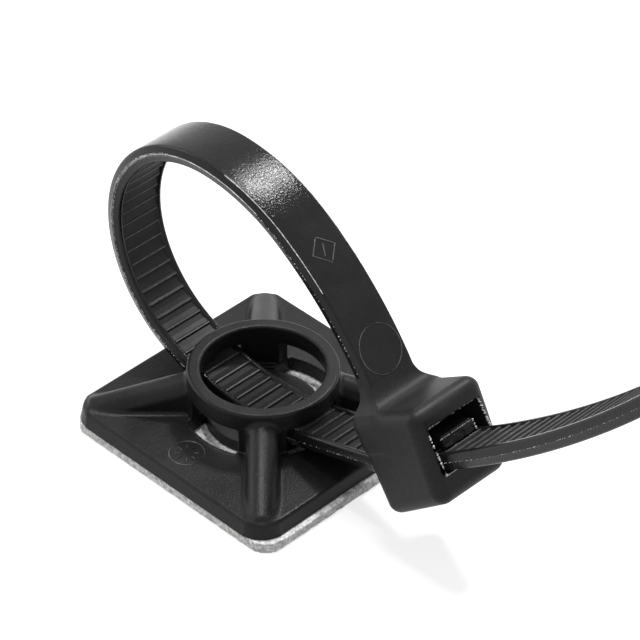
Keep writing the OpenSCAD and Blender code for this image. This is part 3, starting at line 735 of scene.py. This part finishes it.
def headField(x, y, z):
    h = head
    u = (x - root[0]) * down[0] + (z - root[1]) * down[1]
    v = (x - root[0]) * out[0] + (z - root[1]) * out[1]
    ay = np.abs(y)
    r = h["round"]
    near, far = h["neck"] + r, h["neck"] + h["length"] - r
    low, high = r - headBack, h["out"] - r
    outline = polygonField(u, v, [(near, low), (far + h["rake"], low), (far - h["rake"], high - h["taper"]),
                                  (near, high)]) - r
    a, b = outline + h["edge"], ay - h["width"] / 2 + h["edge"]
    block = np.hypot(np.maximum(a, 0), np.maximum(b, 0)) + np.minimum(np.maximum(a, b), 0) - h["edge"]
    ease = np.clip((u + h["neckLead"]) / (h["neck"] + h["neckLead"]), 0, 1)
    half = tie["width"] / 2 + (h["neckHalf"] - tie["width"] / 2) * ease * ease
    swell = h["swell"] * ease ** h["swellPower"]
    shrink = h["shrink"] * np.clip(-(u - h["shrinkFrom"]) / h["shrinkRun"], 0, 1)  # its end lies in the strap
    neck = smoothMax(v - swell + shrink, -tie["thick"] - swell - v + shrink, h["faceRound"])
    neck = smoothMax(ay - half + shrink, neck, h["neckRound"])
    beyond = ay - tie["faceHalf"] - (half - tie["width"] / 2)
    bevel = beyond * h["bevelAcross"] + (v - swell) * h["bevelOut"]
    neck = smoothMax(neck, bevel + shrink, h["bevelRound"])
    neck = np.maximum(neck, np.maximum(-h["neckIn"] - u, u - h["neck"] - h["neckUnder"]))
    body = smoothMin(block, neck, h["neckBlend"])
    c, s = math.cos(math.radians(tailDir)), math.sin(math.radians(tailDir))
    t = (x - mouth[0]) * c + (z - mouth[1]) * s
    w = -(x - mouth[0]) * s + (z - mouth[1]) * c
    torn = np.clip((t - tunnelL + h["tornFrom"]) / h["tornRun"], 0, 1)  # only the tunnel's far rim is torn
    jag = h["coarse"] * torn * latticeNoise(x, y, z, h["coarseCell"], seed=3)
    jag = jag + h["fine"] * torn * latticeNoise(x, y, z, h["fineCell"], seed=4)
    mid, reach = (tunnelTop - h["clear"]) / 2, (tunnelTop + h["clear"]) / 2
    tunnel = smoothMax(np.abs(w - mid) - reach, ay - tie["width"] / 2 - h["side"], h["tunnelRound"]) + jag
    body = smoothMax(body, -tunnel, h["rimRound"])
    rootT, tipT = h["pawl"] / 2, tunnelL - h["pawlInset"]
    rootEnd = rootT + 2 * h["pawl"]
    under = tie["thick"] - tie["trackDepth"] + tie["toothHeight"] + h["pawlClear"]
    finger = polygonField(t, w, [
        (rootT, tunnelTop + h["pawl"] / 2), (rootT, tunnelTop - h["pawl"] / 3), (tipT - h["pawl"], under),
        (tipT, under), (tipT, under + h["pawl"]), (rootEnd, tunnelTop), (rootEnd, tunnelTop + h["pawl"] / 2)])
    finger = smoothMax(finger, ay - tie["trackHalf"] + h["pawlClear"], h["pawlRound"])
    finger = finger + h["pawlTorn"] * jag
    return smoothMin(body, finger, h["pawlBlend"])


corners = [headPoint(u, v) for u in (-head["rootSpace"], head["neck"] + head["length"] + head["space"])
           for v in (-headBack - head["space"], head["out"] + head["space"])]
sideSpace = head["width"] / 2 + head["sideSpace"]
low = (min(p[0] for p in corners), -sideSpace, min(p[1] for p in corners))
high = (max(p[0] for p in corners), sideSpace, max(p[1] for p in corners))
headPiece = solidFromField("tie_head", headField, low, high, head["cell"])
headPiece.data.materials.append(satinPlastic)


def tunnelPoint(t, w, across):
    a = math.radians(tailDir)
    return Vector((mouth[0] + t * math.cos(a) - w * math.sin(a), across,
                   mouth[1] + t * math.sin(a) + w * math.cos(a))) * mm


rimShape = {"inset": 0.12, "pawlAt": 2.25, "pawlHalf": 3.0}
rimHalf = tie["width"] / 2 + head["side"]
rimSpots = ([(tunnelTop, rimHalf * s) for s in np.linspace(-1, 1, 30)]
            + [(tunnelTop * s, rimHalf) for s in np.linspace(1, 0, 20)]
            + [(-head["clear"], rimHalf * s) for s in np.linspace(1, -1, 30)]
            + [(tunnelTop * s, -rimHalf) for s in np.linspace(0, 1, 20)])
rim = [tunnelPoint(tunnelL - rimShape["inset"], w, across) for w, across in rimSpots]
pawlLine = [tunnelPoint(tunnelL - head["pawlInset"], rimShape["pawlAt"] + k * head["pawl"],
                        rimShape["pawlHalf"] * s)
            for k in (0, 1) for s in np.linspace(2 * k - 1, 1 - 2 * k, 20)]
rimInputs = dict(flashInputs, Pitch=0.12 * mm, Smallest=0.25, Largest=1.25, Share=0.6, Seed=11)
rimFlash = runTree(lineMesh("rimFlash", rim, pawlLine), repeated, rimInputs)
headPiece = joined("tie_head", [headPiece, rimFlash])
print("head made")


# mould mark on the plate

markShape = {
    "at": (0.0, -14.5), "ringR": 2.444, "ringLine": 0.09, "dashR": 1.3, "dash": 0.65, "dashLine": 0.075,
    "dashes": 8}
plateTop = mountShape["underside"] + mountShape["plate"]


def onPlate(r, a):  # point on the plate, round the mark's middle
    return Vector((markShape["at"][0] + r * math.cos(a), markShape["at"][1] + r * math.sin(a), plateTop)) * mm


markRing = [onPlate(markShape["ringR"], a) for a in np.linspace(0, 2 * math.pi, 65)[:-1]]
# the mark's lines are pale nylon: painted highlights on its raised edges
markLines = [raisedLine(markRing, markShape["ringLine"], paintedHighlightPlastic, closed=True)]
for turn in range(markShape["dashes"]):
    dash = [onPlate(markShape["dashR"] + k * markShape["dash"] / 2, turn * 2 * math.pi / markShape["dashes"])
            for k in (-1, 1)]
    markLines.append(raisedLine(dash, markShape["dashLine"], paintedHighlightPlastic))
mouldMark = joined("mould_mark", markLines)
print("marks made")

for helper in (sectionPiece, tooth, crest, flake):
    bpy.data.objects.remove(helper)

for piece, slotName in ((mount, "base_plastic"), (mouldMark, "base_plastic"), (pad, "foam"),
                        (strap, "tie_plastic"), (headPiece, "tie_plastic")):
    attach(piece, "root")
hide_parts("mount_base")
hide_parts("foam_pad")
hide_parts("cable_tie")
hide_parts("cable_tie")
print("pieces placed")


# floor, light and camera

def seenRays(tree):  # 1 on rays that see the background, 0 on those that only light the scene
    rays = tree.nodes.new("ShaderNodeLightPath")
    seen = mathNode(tree, "MAXIMUM", rays.outputs["Is Camera Ray"], rays.outputs["Is Glossy Ray"])
    return mathNode(tree, "MAXIMUM", seen, rays.outputs["Is Transmission Ray"])


studio = {"floorHalf": 1.5, "grey": 0.42, "glow": 0.72, "fill": 0.52, "middle": (0.012, 0, 0.022)}
floorMesh = bpy.data.meshes.new("floor")
floorMesh.from_pydata([(studio["floorHalf"] * x, studio["floorHalf"] * y, 0)
                       for x, y in ((-1, -1), (1, -1), (1, 1), (-1, 1))], [], [(0, 1, 2, 3)])
floor = newObject("floor", floorMesh)
paper = bpy.data.materials.new("whitePaper")
paper.use_nodes = True
tree = paper.node_tree
shader = tree.nodes["Principled BSDF"]
for label, value in {"Base Color": (studio["grey"],) * 3 + (1,), "Roughness": 0.9, "Specular IOR Level": 0.1,
                     "Emission Color": (1, 1, 1, 1)}.items():
    shader.inputs[label].default_value = value
tree.links.new(mathNode(tree, "MULTIPLY", seenRays(tree), studio["glow"]), shader.inputs["Emission Strength"])
floorMesh.materials.append(paper)

world = bpy.data.worlds.new("studio")
bpy.context.scene.world = world
world.use_nodes = True
tree = world.node_tree
back = tree.nodes["Background"]
level = addNode(tree, "ShaderNodeMapRange", {
    "Value": seenRays(tree), "To Min": studio["fill"], "To Max": 1.0})
tree.links.new(level.outputs[0], back.inputs["Strength"])
back.inputs["Color"].default_value = (1, 1, 1, 1)

lamps = {
    "back": {"from": (-0.18, 0.55, 0.81), "distance": 0.6, "size": 0.07, "power": 2.1},
    "overhead": {"from": (-0.2, 0.04, 0.97), "distance": 0.6, "size": 0.14, "power": 2.4},
    "left": {"from": (-0.9, -0.5, 0.35), "distance": 0.7, "size": 0.3, "power": 0.9}}
middle = Vector(studio["middle"])
for name, lamp in lamps.items():
    light = bpy.data.lights.new(name, "AREA")  # square, in metres and watts
    light.size = lamp["size"]
    light.energy = lamp["power"]
    source = newObject(name, light)
    direction = Vector(lamp["from"]).normalized()
    source.location = middle + direction * lamp["distance"]
    source.rotation_euler = direction.to_track_quat("Z", "Y").to_euler()

view = {  # degrees and millimetres
    "azimuth": 44.501, "elevation": 39.057, "roll": 0.587, "distance": 500.0, "right": 7.673, "up": 13.466,
    "lens": 203.85}
a, e, roll = (math.radians(view[key]) for key in ("azimuth", "elevation", "roll"))
right = Vector((math.cos(a), math.sin(a), 0))
forward = Vector((-math.sin(a) * math.cos(e), math.cos(a) * math.cos(e), -math.sin(e)))
upward = Vector((-math.sin(a) * math.sin(e), math.cos(a) * math.sin(e), math.cos(e)))
where = (-forward * view["distance"] + right * view["right"] + upward * view["up"]
         + Vector((0, 0, mountShape["underside"]))) * mm
cameraX = right * math.cos(roll) + upward * math.sin(roll)
cameraY = upward * math.cos(roll) - right * math.sin(roll)
camera = newObject("camera", bpy.data.cameras.new("camera"))
camera.data.lens = view["lens"]
camera.data.sensor_width = 36
camera.data.clip_start = 0.01
camera.matrix_world = Matrix.Translation(where) @ Matrix((cameraX, cameraY, -forward)).transposed().to_4x4()
bpy.context.scene.camera = camera
bpy.context.scene.view_settings.view_transform = "Standard"
